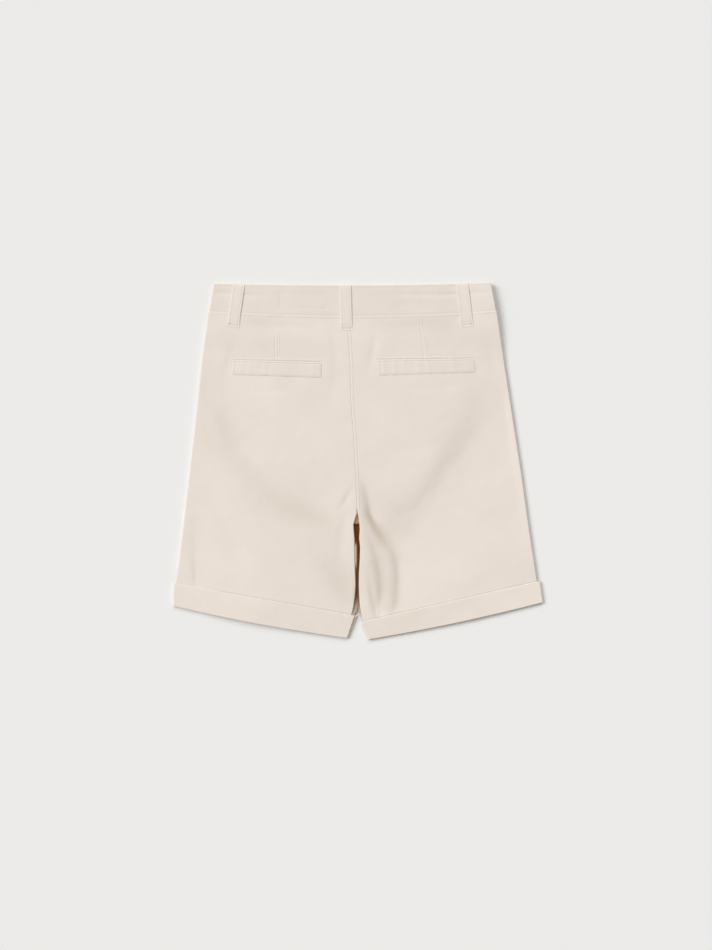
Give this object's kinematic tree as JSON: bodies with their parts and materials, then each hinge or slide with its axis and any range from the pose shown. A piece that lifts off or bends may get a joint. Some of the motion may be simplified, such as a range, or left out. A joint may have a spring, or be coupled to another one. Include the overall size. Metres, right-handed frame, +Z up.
{
  "type": "bermuda shorts",
  "caption": "Cream cotton twill bermuda shorts with turned-up cuffs, belt loops and welt back pockets, laid flat with the back upwards",
  "frame": {"origin": "middle of the laid-out garment, on the surface that it lies on", "axes": "+Z up out of the surface and out of the garment's back; +Y from the hems to the waist; +X to the wearer's right"},
  "size_m": [0.4008, 0.385, 0.009],
  "materials": {
    "twill_legs": "matt cotton twill",
    "twill_waistband": "matt cotton twill, doubled",
    "twill_welts": "matt cotton twill, folded",
    "twill_turn_ups": "matt cotton twill, turned up",
    "twill_loops": "matt cotton twill, folded and stitched",
    "button_resin": "satin horn-like resin"
  },
  "bodies": {
    "root": {"back_left": "twill_legs", "back_right": "twill_legs", "front_left": "twill_legs", "front_right": "twill_legs", "side_pocket_left": "twill_legs", "side_pocket_right": "twill_legs", "waistband_back": "twill_waistband", "waistband_front_left": "twill_waistband", "waistband_front_right": "twill_waistband", "welt_left": "twill_welts", "welt_right": "twill_welts", "cuff_back_left": "twill_turn_ups", "cuff_back_right": "twill_turn_ups", "cuff_front_left": "twill_turn_ups", "cuff_front_right": "twill_turn_ups", "loop_back_left": "twill_loops", "loop_back_centre": "twill_loops", "loop_back_right": "twill_loops", "loop_front_left": "twill_loops", "loop_front_right": "twill_loops", "button": "button_resin"}
  },
  "joints": []
}
